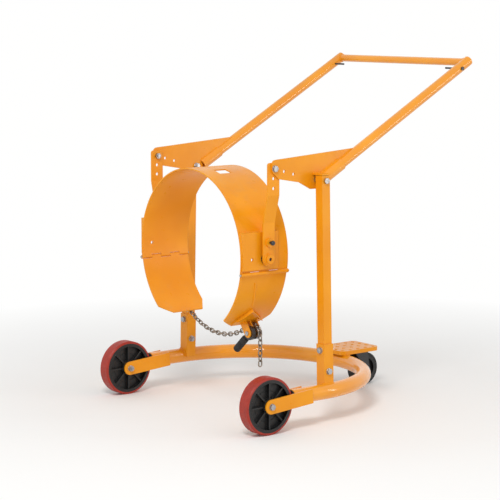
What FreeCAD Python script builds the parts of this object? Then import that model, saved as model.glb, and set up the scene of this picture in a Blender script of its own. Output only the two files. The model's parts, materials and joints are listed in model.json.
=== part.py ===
import FreeCAD, Part
import math
import os

# Drum tipper: a horseshoe cart on two front wheels and a rear caster, with two posts, a push handle
# and a swinging saddle that grips a steel drum and tips it end over end. Millimetres.
# +X points to the operator at the rear, the pouring front is -X, +Z is up, left is -Y.
# The values below measure x from the front axle; the pieces are shifted to the middle at the end.

V = FreeCAD.Vector
AXIS_X = V(1, 0, 0)
AXIS_Y = V(0, 1, 0)
AXIS_Z = V(0, 0, 1)
HALF = 0.5

# Fits
running_gap = 0.05
weld_gap = 0.05
slip_gap = 0.2
body_gap = 0.3
cut_over = 6.0

# Bolts
bolt_radius = 6.0
bolt_across = 19.0
bolt_head = 7.5
nut_height = 10.0
bolt_tail = 4.0
washer_radius = 12.0

# Front wheels
wheel_radius = 100.0
wheel_side_gap = 4.0
track_half = 422.0
tread_depth = 8.0
tread_bevel = 3.0
core_rim = 9.0
core_web = 14.0
hub_radius = 27.0
hub_side_gap = 3.0
rib_count = 8
rib_width = 5.0
bearing_radius = 17.0
axle_sleeve_radius = 10.0

# Horseshoe base and its wheel forks
base_radius = 27.0
base_wall = 4.0
base_height = 114.0
leg_clearance = 10.0
bend_middle = 255.0
leg_cap = 5.0
cheek_thick = 6.0
cheek_height = 50.0
cheek_reach = 182.0

# Posts and the sleeves that hold them
post_reach = 279.0
post_size = 35.0
post_wall = 3.0
post_inset = 16.0
post_lean_in = 20.0
post_top_rise = 17.0
post_foot_gap = 6.0
sleeve_wall = 3.0
sleeve_height = 138.0
sleeve_low_bolt = 42.0
sleeve_high_bolt = 116.0

# Step plate with its turned-down edge
step_overlap = 32.0
step_rear_margin = 11.0
step_half_width = 76.0
step_thick = 5.0
step_lip = 15.0
step_corner = 22.0
step_stud_radius = 6.0
step_stud_height = 1.6
step_stud_rows = 5
step_stud_columns = 4

# Rear caster
caster_set = 114.0
caster_trail = 24.0
caster_crown_gap = 6.2
caster_width = 36.0
caster_tyre_depth = 12.0
caster_bush_radius = 10.0
caster_plate_length = 66.0
caster_plate_width = 84.0
caster_plate_thick = 5.0
caster_race_radius = 31.0
caster_race_height = 10.5
caster_fork_thick = 4.0
caster_fork_half = 30.0
caster_axle_boss = 15.0
caster_side_gap = 2.5

# Handle plates
handle_bolt_drop = 48.0
plate_set = 40.0
plate_thick = 6.0
plate_nose = 12.0
plate_nose_drop = 11.0
plate_brow = 29.0
plate_chin = 19.0
plate_chin_drop = 37.0
plate_rear = 172.0
plate_rear_top = 102.0
plate_belly_front = 76.0
plate_belly_drop = 5.0
plate_lobe = 31.0
plate_lobe_front = 26.0
plate_corner = 18.0
plate_hole_pitch = 43.0
plate_hole_slope = 15.5
plate_hole_radius = 5.5
stop_thick = 6.0
stop_gap = 1.5

# Handle tubes, at a slope
handle_slope = 29.36
handle_foot_drop = 13.3
tube_outset = 5.0
socket_wall = 3.55
socket_start = 34.0
socket_end = 126.0
side_tube_radius = 18.2
side_tube_wall = 3.0
side_tube_start = 44.0
side_tube_end = 841.0
side_tube_round = 5.0
bar_inset = 15.0
bar_radius = 14.0
bar_wall = 2.5
peg_below_bar = 45.0
peg_radius = 3.5
peg_head_radius = 7.0
peg_head = 4.0
peg_inward = 50.0

# Hangers
hanger_reach = 94.0
hanger_length = 314.0
hanger_width = 50.0
hanger_top_rise = 20.0
hanger_top_round = 9.0
hanger_thick = 6.0
hanger_upper_drop = 92.0
hanger_flat = 67.0
hanger_set = 20.5
hanger_spare_drop = 34.0
hanger_spare_count = 2
hanger_spare_radius = 6.0
hanger_boss_radius = 21.0
hanger_boss = 4.0

# Drum saddle, its side pads and trunnions
drum_height = 583.0
saddle_radius = 293.0
saddle_thick = 4.5
saddle_width = 207.0
window_length = 53.0
window_width = 40.0
window_shift = 14.0
window_angle = 15.0
pad_stand = 4.5
pad_length = 156.0
pad_shift = 22.0
pad_low = 37.0
pad_high = 94.0
pad_wall = 5.0
trunnion_radius = 12.0
trunnion_shoulder = 20.0
trunnion_root = 4.2
trunnion_cap_radius = 16.0
trunnion_cap_hole = 6.5
trunnion_cap = 5.0

# Lock pin that fixes the saddle upright or level
lock_rise = 58.0
lock_radius = 5.0
lock_nose_radius = 3.6
lock_nose_spare = 3.0
lock_hole_radius = 6.0
lock_bush_radius = 15.0
lock_bush = 8.0
lock_travel = 9.0
lock_knob_radius = 8.5
lock_knob = 7.0
lock_knob_round = 2.5

# Hinged lower flaps
hinge_stand = 2.5
hinge_angle = 99.7
hinge_relief_angle = 1.4
hinge_barrel = 7.0
hinge_rod = 4.0
hinge_rod_end = 4.0
hinge_knuckles = 5
knuckle_gap = 0.5
flap_past_angle = 2.5
flap_inset = 2.0
flap_front_trim = 48.0
flap_front_trim_rise = 38.0
flap_rear_trim = 25.0
flap_rear_trim_rise = 45.0

# Chain tightener on the left flap
tightener_angle = 143.5
tightener_set = 3.0
spool_lift = 6.5
cheek_plate = 5.0
cheek_plate_half = 16.0
bracket_foot = 3.5
bracket_foot_angle = 2.4
doubler_ahead = 50.0
doubler_behind = 68.0
doubler_peak_ahead = 7.0
doubler_top_angle = 128.0
doubler_front_rise = 52.0
doubler_rear_rise = 62.0
hood_stand = 13.0
hood_thick_angle = 0.9
rivet_behind = 49.0
rivet_angle = 140.0
rivet_radius = 7.0
rivet_height = 5.0
lever_hub_radius = 25.0
lever_hub = 12.0
lever_side_gap = 1.0
lever_direction = -42.0
lever_length = 106.0
lever_neck = 7.0
grip_radius = 13.5
grip_start = 30.0
grip_round = 6.0
grip_groove = 2.0
grip_groove_count = 5
shaft_radius = 5.0
shaft_head_radius = 8.0
shaft_head = 3.5
spool_room = 23.0
spool_core = 15.5
spool_flange_radius = 23.5
spool_groove = 5.2
spool_flange = 4.0

# Chain
chain_wire = 4.4
chain_pitch = 18.5
chain_outer = 18.0
chain_slack = 0.3
chain_bend_slack = 1.5
chain_stand = 10.5
chain_wrap_radius = 28.0
lead_links = 4
tail_links = 5
anchor_angle = 143.0
anchor_pin_radius = 3.4
anchor_pin_head = 6.0
anchor_plate = 5.0
anchor_half = 8.5
anchor_side_gap = 1.2

# Worked out from the sizes above: widths and the base
wheel_width = 2 * (base_radius - wheel_side_gap)
hub_width = 2 * (base_radius - hub_side_gap)
leg_front = wheel_radius + leg_clearance
base_rear = bend_middle + track_half
post_base_offset = track_half - post_inset
post_top_offset = post_base_offset - post_lean_in
plate_inner = post_top_offset - plate_set
caster_reach = base_rear + caster_set
step_front = base_rear - step_overlap
step_length = caster_reach + caster_plate_length * HALF + step_rear_margin - step_front
step_top = base_height + base_radius + step_lip

# Heights, from the drum axis up
hanger_bolt_height = drum_height + hanger_length
hanger_upper_bend = hanger_bolt_height - hanger_upper_drop
hanger_lower_bend = drum_height + lock_rise + hanger_flat
handle_bolt_height = hanger_bolt_height - handle_bolt_drop
post_top = handle_bolt_height + post_top_rise
lean = math.degrees(math.atan2(post_base_offset - post_top_offset, handle_bolt_height - base_height))
post_half = post_size * HALF
sleeve_half = post_half + slip_gap + sleeve_wall
sleeve_bottom = base_height + base_radius

# Handle
handle_dir = V(math.cos(math.radians(handle_slope)), 0, math.sin(math.radians(handle_slope)))
handle_foot = V(post_reach, 0, handle_bolt_height - handle_foot_drop)
tube_offset = plate_inner + plate_thick * HALF + tube_outset
socket_radius = side_tube_radius + weld_gap + socket_wall
bar_reach = side_tube_end - bar_inset
peg_place = bar_reach - peg_below_bar
handle_tip = handle_foot.x + (side_tube_end - side_tube_round) * handle_dir.x
handle_tip += (side_tube_radius - side_tube_round) * handle_dir.z + side_tube_round
middle_x = (handle_tip - wheel_radius) * HALF

# Saddle, flaps and what sits on them
saddle_outer = saddle_radius + saddle_thick
saddle_front = hanger_reach - saddle_width * HALF
saddle_rear = hanger_reach + saddle_width * HALF
saddle_half_angle = hinge_angle - hinge_relief_angle
drum_middle = V(0, 0, drum_height)
pad_face = saddle_outer + pad_stand
hinge_radius = saddle_outer + hinge_stand
flap_start = hinge_angle + hinge_relief_angle
flap_end = tightener_angle + flap_past_angle
hanger_low_offset = saddle_outer + hanger_set
hanger_high_offset = plate_inner - body_gap - hanger_thick * HALF
hanger_outer = hanger_low_offset + hanger_thick * HALF
hanger_inner = hanger_low_offset - hanger_thick * HALF
doubler_front = hanger_reach - doubler_ahead
doubler_rear = hanger_reach + doubler_behind
doubler_peak = hanger_reach - doubler_peak_ahead
rivet_place = hanger_reach + rivet_behind

# Tightener and chain
chain_radius = saddle_outer + chain_stand
tightener_stand = chain_stand + chain_wrap_radius + spool_lift
tightener_radius = saddle_outer + tightener_stand
tightener_front = hanger_reach - tightener_set
lever_front = tightener_front + cheek_plate + lever_side_gap
second_cheek = lever_front + lever_hub + lever_side_gap
spool_middle = second_cheek + cheek_plate + spool_room * HALF
third_cheek = second_cheek + cheek_plate + spool_room


def rod(radius, start, direction, length):
    return Part.makeCylinder(radius, length, start, direction)


def ring(outer, inner, start, direction, length):
    return rod(outer, start, direction, length).cut(rod(inner, start, direction, length))


def block(low, high):
    return Part.makeBox(high.x - low.x, high.y - low.y, high.z - low.z, low)


def prism(points, travel):
    return Part.Face(Part.makePolygon(points + points[:1])).extrude(travel)


def hexagon(across, start, direction, height):
    turn = FreeCAD.Rotation(AXIS_Z, direction)
    corner = across / math.sqrt(3)
    sixth = math.pi / 3
    points = [V(corner * math.cos(k * sixth), corner * math.sin(k * sixth), 0) for k in range(6)]
    return prism([start + turn.multVec(p) for p in points], direction * height)


def bolt(seat, direction, grip, radius=bolt_radius, across=bolt_across, head=bolt_head, tail=bolt_tail):
    shank = rod(radius, seat, direction, grip + nut_height + tail)
    return shank.fuse(hexagon(across, seat - direction * head, direction, head)).removeSplitter()


def nut(seat, direction):
    body = hexagon(bolt_across, seat, direction, nut_height)
    return body.cut(rod(bolt_radius + weld_gap, seat, direction, nut_height))


def square_tube(half, wall, low, high, middle):
    corner = V(half, half, 0)
    hole = V(half - wall, half - wall, 0)
    over = V(0, 0, cut_over)
    body = block(middle - corner + V(0, 0, low), middle + corner + V(0, 0, high))
    return body.cut(block(middle - hole + V(0, 0, low) - over, middle + hole + V(0, 0, high) + over))


def swept(path, start, tangent, radius):
    profile = Part.Wire([Part.makeCircle(radius, start, tangent)])
    return path.makePipeShell([profile], True, False)


def mirrored(shape):
    return shape.mirror(V(0, 0, 0), AXIS_Y)


def both(shape):
    return [shape, mirrored(shape)]


def leaned(shape):
    shape.rotate(V(0, post_top_offset, handle_bolt_height), AXIS_X, lean)
    return shape


def turned(shape, angle):
    # Swings a piece made at the saddle's crown round the drum axis, towards +Y.
    shape.rotate(drum_middle, AXIS_X, -angle)
    return shape


def round_drum(radius, angle, x):
    turn = math.radians(angle)
    return V(x, radius * math.sin(turn), drum_height + radius * math.cos(turn))


def shell(inner, outer, x_low, x_high, first, last):
    corners = [(x_low, inner), (x_high, inner), (x_high, outer), (x_low, outer)]
    points = [round_drum(r, first, x) for x, r in corners]
    face = Part.Face(Part.makePolygon(points + points[:1]))
    return face.revolve(drum_middle, -AXIS_X, last - first)


# Horseshoe base

def base_path(front):
    near = V(front, -track_half, base_height)
    far = V(front, track_half, base_height)
    bend_near = V(bend_middle, -track_half, base_height)
    bend_far = V(bend_middle, track_half, base_height)
    rear = V(bend_middle + track_half, 0, base_height)
    bend = Part.Arc(bend_near, rear, bend_far).toShape()
    return Part.Wire([Part.makeLine(near, bend_near), bend, Part.makeLine(bend_far, far)])


def base_solid(radius, front):
    return swept(base_path(front), V(front, -track_half, base_height), AXIS_X, radius)


def horseshoe_tube():
    return base_solid(base_radius, leg_front).cut(base_solid(base_radius - base_wall, leg_front + leg_cap))


def fork_cheeks():
    # Two flat bars per fork, round at the axle and rising to the base tube.
    rise = math.atan2(base_height - wheel_radius, cheek_reach)
    half = cheek_height * HALF
    bar = block(V(0, 0, -half), V(cheek_reach / math.cos(rise), cheek_thick, half))
    bar = bar.fuse(rod(half, V(0, 0, 0), AXIS_Y, cheek_thick)).removeSplitter()
    bar = bar.cut(rod(bolt_radius + slip_gap, V(0, 0, 0), AXIS_Y, cheek_thick))
    bar.rotate(V(0, 0, 0), AXIS_Y, -math.degrees(rise))
    outer = bar.copy()
    outer.translate(V(0, track_half + base_radius + weld_gap, wheel_radius))
    bar.translate(V(0, track_half - base_radius - weld_gap - cheek_thick, wheel_radius))
    return Part.makeCompound([outer, bar])


# Posts

def post():
    foot = sleeve_bottom + post_foot_gap
    body = square_tube(post_half, post_wall, foot, post_top, V(post_reach, post_top_offset, 0))
    return leaned(cut_sleeve_bolts(body)).cut(handle_bolt_hole())


def sleeve_bolt_seats():
    # Seat, direction of each sleeve bolt, before the post leans.
    fore = V(post_reach - sleeve_half, post_top_offset, sleeve_bottom + sleeve_high_bolt)
    side = V(post_reach, post_top_offset + sleeve_half, sleeve_bottom + sleeve_low_bolt)
    return [(fore, AXIS_X), (side, -AXIS_Y)]


def cut_sleeve_bolts(body):
    for seat, direction in sleeve_bolt_seats():
        start = seat - direction * cut_over
        body = body.cut(rod(bolt_radius + slip_gap, start, direction, 2 * (sleeve_half + cut_over)))
    return body


def post_sleeve():
    body = square_tube(sleeve_half, sleeve_wall, base_height, sleeve_bottom + sleeve_height,
                       V(post_reach, post_top_offset, 0))
    return leaned(cut_sleeve_bolts(body)).cut(base_solid(base_radius, leg_front))


def handle_bolt_seat():
    tilt = math.radians(lean)
    face = post_top_offset + post_half / math.cos(tilt)
    return V(post_reach, face + bolt_across * HALF * math.tan(tilt) + weld_gap, handle_bolt_height)


def handle_bolt_hole():
    start = V(post_reach, 0, handle_bolt_height)
    return rod(bolt_radius + slip_gap, start, AXIS_Y, post_top_offset + post_size)


def frame_bolts():
    pieces = [leaned(bolt(seat, way, 2 * sleeve_half)) for seat, way in sleeve_bolt_seats()]
    seat = handle_bolt_seat()
    return pieces + [bolt(seat, -AXIS_Y, seat.y - plate_inner)]


def frame_nuts():
    grip = 2 * sleeve_half
    pieces = [leaned(nut(seat + way * grip, way)) for seat, way in sleeve_bolt_seats()]
    return pieces + [nut(V(post_reach, plate_inner, handle_bolt_height), -AXIS_Y)]


def handle_spacer():
    tilt = math.radians(lean)
    inner_face = post_top_offset - post_half / math.cos(tilt) - washer_radius * math.tan(tilt)
    start = plate_inner + plate_thick + weld_gap
    return ring(washer_radius, bolt_radius + weld_gap, V(post_reach, start, handle_bolt_height), AXIS_Y,
                inner_face - weld_gap - start)


# Step plate and caster

def step_plate():
    low = V(step_front, -step_half_width, step_top - step_lip)
    high = V(step_front + step_length, step_half_width, step_top)
    body = block(low, high)
    upright = [e for e in body.Edges if abs(e.tangentAt(e.FirstParameter).z) > HALF]
    body = body.makeFillet(step_corner, upright)
    inset = V(step_thick, step_thick, 0)
    hollow = block(low + inset - V(0, 0, cut_over), high - inset - V(0, 0, step_thick))
    upright = [e for e in hollow.Edges if abs(e.tangentAt(e.FirstParameter).z) > HALF]
    body = body.cut(hollow.makeFillet(step_corner - step_thick, upright))
    studs = []
    for row in range(step_stud_rows):
        for column in range(step_stud_columns):
            x = step_front + step_length * (row + HALF) / step_stud_rows
            y = step_half_width * (2 * (column + HALF) / step_stud_columns - 1)
            foot = V(x, y, step_top - step_stud_height)
            studs.append(rod(step_stud_radius, foot, AXIS_Z, 2 * step_stud_height))
    return body.fuse(studs).removeSplitter()


caster_top = step_top - step_thick
caster_race_top = caster_top - caster_plate_thick
caster_crown_top = caster_race_top - caster_race_height - body_gap
caster_radius = (caster_crown_top - caster_fork_thick - caster_crown_gap) * HALF
caster_axle_x = caster_reach + caster_trail
caster_cheek = caster_width * HALF + caster_side_gap
caster_pin_foot = caster_crown_top - caster_fork_thick - body_gap - nut_height * HALF


def caster_top_plate():
    half = V(caster_plate_length * HALF, caster_plate_width * HALF, 0)
    middle = V(caster_reach, 0, 0)
    return block(middle - half + V(0, 0, caster_race_top), middle + half + V(0, 0, caster_top))


def caster_race():
    start = V(caster_reach, 0, caster_race_top)
    body = Part.makeCone(caster_race_radius, caster_race_radius - caster_race_height * HALF,
                         caster_race_height, start, -AXIS_Z)
    return body.cut(rod(bolt_radius + weld_gap, start, -AXIS_Z, caster_race_height))


def caster_kingpin():
    top = V(caster_reach, 0, caster_race_top)
    pin = rod(bolt_radius, top, -AXIS_Z, caster_race_top - caster_pin_foot)
    head = hexagon(bolt_across, V(caster_reach, 0, caster_pin_foot), AXIS_Z, nut_height * HALF)
    return pin.fuse(head).removeSplitter()


def caster_fork():
    low = caster_crown_top - caster_fork_thick
    half = caster_fork_half
    width = caster_cheek + caster_fork_thick
    crown = block(V(caster_reach - half, -width, low), V(caster_reach + half, width, caster_crown_top))
    crown = crown.cut(rod(bolt_radius + running_gap, V(caster_reach, 0, low), AXIS_Z, caster_fork_thick))
    boss = caster_axle_boss
    outline = [V(caster_reach - half, caster_cheek, low), V(caster_reach + half, caster_cheek, low),
               V(caster_axle_x + boss, caster_cheek, caster_radius),
               V(caster_axle_x - boss, caster_cheek, caster_radius)]
    leg = prism(outline, V(0, caster_fork_thick, 0))
    axle = V(caster_axle_x, caster_cheek, caster_radius)
    leg = leg.fuse(rod(boss, axle, AXIS_Y, caster_fork_thick))
    leg = leg.cut(rod(bolt_radius + weld_gap, axle, AXIS_Y, caster_fork_thick))
    return crown.fuse([leg, mirrored(leg)]).removeSplitter()


def caster_axle():
    outer = caster_cheek + caster_fork_thick
    start = V(caster_axle_x, -outer - bolt_tail, caster_radius)
    pin = rod(bolt_radius, start, AXIS_Y, 2 * (outer + bolt_tail))
    heads = [hexagon(bolt_across, V(caster_axle_x, side * (outer + weld_gap), caster_radius), AXIS_Y * side,
                     bolt_head) for side in (1, -1)]
    return pin.fuse(heads).removeSplitter()


def turned_wheel(profile, x, z):
    # Turns a list of (radius, y) points about the wheel's axle.
    points = [V(x, y, z + r) for r, y in profile]
    face = Part.Face(Part.makePolygon(points + points[:1]))
    return face.revolve(V(x, 0, z), AXIS_Y, 360)


def bevelled_tyre(radius, depth, half, bevel):
    return [(radius - depth, -half), (radius - bevel, -half), (radius, -half + bevel),
            (radius, half - bevel), (radius - bevel, half), (radius - depth, half)]


def caster_tyre():
    profile = bevelled_tyre(caster_radius, caster_tyre_depth, caster_width * HALF, tread_bevel)
    return turned_wheel(profile, caster_axle_x, caster_radius)


def caster_core():
    half = caster_width * HALF
    rim = caster_radius - caster_tyre_depth - weld_gap
    step = rim - core_rim
    web = core_web * HALF
    bore = bolt_radius + running_gap
    side = half + caster_side_gap - body_gap
    hub = caster_bush_radius + core_rim
    profile = [(bore, -side), (hub, -side), (hub, -web), (step, -web), (step, -half), (rim, -half),
               (rim, half), (step, half), (step, web), (hub, web), (hub, side), (bore, side)]
    return turned_wheel(profile, caster_axle_x, caster_radius)


# Front wheels

def wheel_tread():
    body = turned_wheel(bevelled_tyre(wheel_radius, tread_depth, wheel_width * HALF, tread_bevel), 0,
                        wheel_radius)
    body.translate(V(0, track_half, 0))
    return body


def wheel_core():
    rim = wheel_radius - tread_depth - weld_gap
    step = rim - core_rim
    half = wheel_width * HALF
    web = core_web * HALF
    hub = hub_width * HALF
    bore = bearing_radius + weld_gap
    profile = [(bore, -hub), (hub_radius, -hub), (hub_radius, -web), (step, -web), (step, -half),
               (rim, -half), (rim, half), (step, half), (step, web), (hub_radius, web),
               (hub_radius, hub), (bore, hub)]
    body = turned_wheel(profile, 0, wheel_radius)
    reach = (hub_radius + bearing_radius) * HALF
    rib_end = (step + rim) * HALF
    rib_half = half - tread_bevel
    rib = block(V(-rib_width * HALF, -rib_half, wheel_radius + reach),
                V(rib_width * HALF, rib_half, wheel_radius + rib_end))
    ribs = []
    for k in range(rib_count):
        spoke = rib.copy()
        spoke.rotate(V(0, 0, wheel_radius), AXIS_Y, 360 * k / rib_count)
        ribs.append(spoke)
    body = body.fuse(ribs).removeSplitter()
    body.translate(V(0, track_half, 0))
    return body


def wheel_bearing():
    start = V(0, track_half - hub_width * HALF, wheel_radius)
    return ring(bearing_radius, axle_sleeve_radius + running_gap, start, AXIS_Y, hub_width)


fork_half = base_radius + weld_gap


def axle_sleeve():
    half = fork_half - weld_gap
    start = V(0, track_half - half, wheel_radius)
    return ring(axle_sleeve_radius, bolt_radius + weld_gap, start, AXIS_Y, 2 * half)


def axle_bolt():
    seat = V(0, track_half + fork_half + cheek_thick, wheel_radius)
    return bolt(seat, -AXIS_Y, 2 * (fork_half + cheek_thick))


def axle_nut():
    return nut(V(0, track_half - fork_half - cheek_thick, wheel_radius), -AXIS_Y)


# Handle

def plate_point(dx, dz):
    return V(post_reach + dx, plate_inner, handle_bolt_height + dz)


def plate_holes():
    slope = math.radians(plate_hole_slope)
    step = V(math.cos(slope), 0, -math.sin(slope)) * plate_hole_pitch
    first = V(hanger_reach, plate_inner, hanger_bolt_height)
    return [first + step * k for k in range(3)]


def socket_line(along):
    return handle_foot + handle_dir * along + V(0, tube_offset, 0)


def handle_plate():
    foot = socket_line(socket_start) - V(0, tube_offset - plate_inner, 0)
    hung = V(hanger_reach, plate_inner, hanger_bolt_height)
    outline = [hung + V(plate_chin, 0, -plate_chin_drop), hung + V(-plate_nose, 0, -plate_nose_drop),
               hung + V(-plate_nose, 0, plate_brow),
               plate_point(plate_rear, plate_rear_top), foot, plate_point(plate_lobe_front, -plate_lobe),
               plate_point(-plate_lobe_front, -plate_lobe),
               plate_point(-plate_belly_front, -plate_belly_drop)]
    body = prism(outline, V(0, plate_thick, 0))
    front_x = hanger_reach - plate_nose
    corners = [e for e in body.Edges
               if e.BoundBox.XMax - front_x < slip_gap and e.BoundBox.YLength > plate_thick * HALF]
    body = body.makeFillet(plate_corner, corners)
    body = body.cut(rod(socket_radius + weld_gap, socket_line(socket_start), handle_dir,
                        socket_end - socket_start))
    body = body.cut(rod(side_tube_radius + weld_gap, socket_line(socket_start), handle_dir, side_tube_end))
    body = body.cut(handle_bolt_hole())
    for k, place in enumerate(plate_holes()):
        radius = plate_hole_radius if k else bolt_radius + weld_gap
        body = body.cut(rod(radius, place, AXIS_Y, plate_thick))
    return body


def handle_stop():
    # Flat lug over the post's top: it keeps the handle from turning about its bolt.
    low = V(post_reach - post_half, plate_inner + plate_thick + weld_gap, post_top + stop_gap)
    high = V(post_reach + post_half, post_top_offset + post_half, post_top + stop_gap + stop_thick)
    return block(low, high).cut(rod(socket_radius, socket_line(0), handle_dir, bar_reach))


def handle_socket():
    start = socket_line(socket_start)
    return ring(socket_radius, side_tube_radius + weld_gap, start, handle_dir, socket_end - socket_start)


def side_tube():
    start = socket_line(side_tube_start)
    length = side_tube_end - side_tube_start
    body = rod(side_tube_radius, start, handle_dir, length)
    end = socket_line(side_tube_end)
    body = body.makeFillet(side_tube_round, [e for e in body.Edges if e.CenterOfMass.isEqual(end, weld_gap)])
    bore = rod(side_tube_radius - side_tube_wall, start, handle_dir, length - side_tube_wall)
    return body.cut(bore).cut(peg_hole())


def peg_hole():
    place = socket_line(peg_place)
    start = V(place.x, 0, place.z)
    return rod(peg_radius + weld_gap, start, AXIS_Y, tube_offset + side_tube_radius + cut_over)


def crossbar():
    middle = handle_foot + handle_dir * bar_reach
    body = ring(bar_radius, bar_radius - bar_wall, middle - V(0, tube_offset, 0), AXIS_Y, 2 * tube_offset)
    for tube in both(rod(side_tube_radius + weld_gap, socket_line(0), handle_dir, side_tube_end + cut_over)):
        body = body.cut(tube)
    return max(body.Solids, key=lambda piece: piece.Volume)


def peg():
    place = socket_line(peg_place)
    seat = V(place.x, tube_offset + side_tube_radius + weld_gap, place.z)
    shank = rod(peg_radius, seat, -AXIS_Y, 2 * side_tube_radius + peg_inward)
    return shank.fuse(rod(peg_head_radius, seat, AXIS_Y, peg_head)).removeSplitter()


# Hangers

def hanger_bolt():
    seat = V(hanger_reach, plate_inner + plate_thick + weld_gap, hanger_bolt_height)
    return bolt(seat, -AXIS_Y, plate_thick + hanger_thick + 2 * body_gap)


def hanger_nut():
    start = plate_inner - hanger_thick - 2 * body_gap
    return nut(V(hanger_reach, start, hanger_bolt_height), -AXIS_Y)


def hanger():
    half = hanger_width * HALF
    top = hanger_bolt_height + hanger_top_rise
    foot = drum_height - half
    line = [(hanger_high_offset, top), (hanger_high_offset, hanger_upper_bend),
            (hanger_low_offset, hanger_lower_bend), (hanger_low_offset, foot)]
    skin = hanger_thick * HALF
    points = [V(hanger_reach - half, y + skin, z) for y, z in line]
    points += [V(hanger_reach - half, y - skin, z) for y, z in reversed(line)]
    body = prism(points, V(hanger_width, 0, 0))
    depth = plate_inner + hanger_outer
    low_end = V(hanger_reach, 0, drum_height)
    high_end = V(hanger_reach, 0, hanger_bolt_height)
    outline = block(low_end - V(half, 0, 0), high_end + V(half, depth, hanger_top_rise))
    crown = [e for e in outline.Edges if e.BoundBox.ZMin > hanger_bolt_height and e.BoundBox.YLength > half]
    outline = outline.makeFillet(hanger_top_round, crown)
    body = body.common(outline.fuse(rod(half, low_end, AXIS_Y, depth)).removeSplitter())
    body = body.fuse(rod(hanger_boss_radius, V(hanger_reach, hanger_outer, drum_height), AXIS_Y, hanger_boss))
    body = body.cut(rod(trunnion_radius + running_gap, low_end, AXIS_Y, depth))
    body = body.cut(rod(bolt_radius + running_gap, high_end, AXIS_Y, depth))
    for k in range(hanger_spare_count):
        spare = high_end - V(0, 0, hanger_spare_drop * (k + 1))
        body = body.cut(rod(hanger_spare_radius, spare, AXIS_Y, depth))
    lock = low_end + V(0, 0, lock_rise)
    body = body.cut(rod(lock_radius + running_gap, lock, AXIS_Y, depth))
    return body.removeSplitter()


def lock_bush_piece():
    start = V(hanger_reach, hanger_outer, drum_height + lock_rise)
    return ring(lock_bush_radius, lock_radius + running_gap, start, AXIS_Y, lock_bush)


def lock_pin():
    tip = V(hanger_reach, pad_face + body_gap, drum_height + lock_rise)
    knob_place = hanger_outer + lock_bush + lock_travel + body_gap
    nose = lock_travel + lock_nose_spare
    shank = rod(lock_radius, tip + V(0, nose, 0), AXIS_Y, knob_place - tip.y - nose + lock_knob * HALF)
    shank = shank.fuse(rod(lock_nose_radius, tip, AXIS_Y, nose + lock_nose_spare))
    knob = rod(lock_knob_radius, V(hanger_reach, knob_place, tip.z), AXIS_Y, lock_knob)
    knob = knob.makeFillet(lock_knob_round, [e for e in knob.Edges if len(e.Vertexes) == 1])
    return shank.fuse(knob).removeSplitter()


# Drum saddle

def knuckle_span(k):
    step = saddle_width / hinge_knuckles
    return saddle_front + step * k + knuckle_gap * HALF, saddle_front + step * (k + 1) - knuckle_gap * HALF


def knuckles(first, from_angle, to_angle):
    # Every second barrel of a hinge, with the strip that joins it to its plate.
    pieces = []
    for k in range(first, hinge_knuckles, 2):
        low, high = knuckle_span(k)
        pieces.append(shell(saddle_radius, saddle_outer, low, high, from_angle, to_angle))
        pieces.append(rod(hinge_barrel, round_drum(hinge_radius, hinge_angle, low), AXIS_X, high - low))
    return pieces


def hinge_bore(radius):
    start = round_drum(hinge_radius, hinge_angle, saddle_front - cut_over)
    return rod(radius, start, AXIS_X, saddle_width + 2 * cut_over)


def saddle_band():
    body = shell(saddle_radius, saddle_outer, saddle_front, saddle_rear, -saddle_half_angle,
                 saddle_half_angle)
    side = knuckles(0, saddle_half_angle, hinge_angle)
    body = body.fuse(side + [mirrored(piece) for piece in side]).removeSplitter()
    bore = hinge_bore(hinge_rod + weld_gap)
    body = body.cut(bore).cut(mirrored(bore))
    half = V(window_length * HALF, window_width * HALF, 0)
    middle = V(hanger_reach - window_shift, 0, drum_height)
    window = block(middle - half + V(0, 0, saddle_radius - cut_over),
                   middle + half + V(0, 0, saddle_outer + cut_over))
    body = body.cut(turned(window, -window_angle))
    level_hole = lock_hole(-lock_rise, 0)
    return body.cut(level_hole).cut(mirrored(level_hole))


def lock_hole(dx, dz):
    return rod(lock_hole_radius, V(hanger_reach + dx, 0, drum_height + dz), AXIS_Y, pad_face)


def side_pad():
    half = pad_length * HALF
    low = V(hanger_reach - pad_shift - half, 0, drum_height - pad_low)
    high = V(hanger_reach - pad_shift + half, pad_face, drum_height + pad_high)
    wall = V(pad_wall, pad_wall, pad_wall)
    body = block(low, high).cut(block(low + V(pad_wall, 0, pad_wall), high - wall))
    drum = rod(saddle_outer + weld_gap, V(hanger_reach - pad_length, 0, drum_height), AXIS_X, 2 * pad_length)
    body = body.cut(drum)
    body = body.cut(rod(trunnion_radius + weld_gap, V(hanger_reach, 0, drum_height), AXIS_Y, pad_face))
    return body.cut(lock_hole(0, lock_rise)).cut(lock_hole(-lock_rise, 0))


def trunnion():
    middle = V(hanger_reach, 0, drum_height)
    root = V(0, pad_face - trunnion_root, 0)
    end = hanger_outer + hanger_boss + body_gap
    pin = rod(trunnion_radius, middle + root, AXIS_Y, end - root.y)
    face = V(0, pad_face + weld_gap, 0)
    collar = rod(trunnion_shoulder, middle + face, AXIS_Y, hanger_inner - body_gap - face.y)
    return pin.fuse(collar).removeSplitter()


def trunnion_end():
    start = V(hanger_reach, hanger_outer + hanger_boss + body_gap, drum_height)
    return ring(trunnion_cap_radius, trunnion_cap_hole, start, AXIS_Y, trunnion_cap)


def hinge_rod_piece():
    start = round_drum(hinge_radius, hinge_angle, saddle_front - hinge_rod_end)
    return rod(hinge_rod, start, AXIS_X, saddle_width + 2 * hinge_rod_end)


# Flaps

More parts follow.
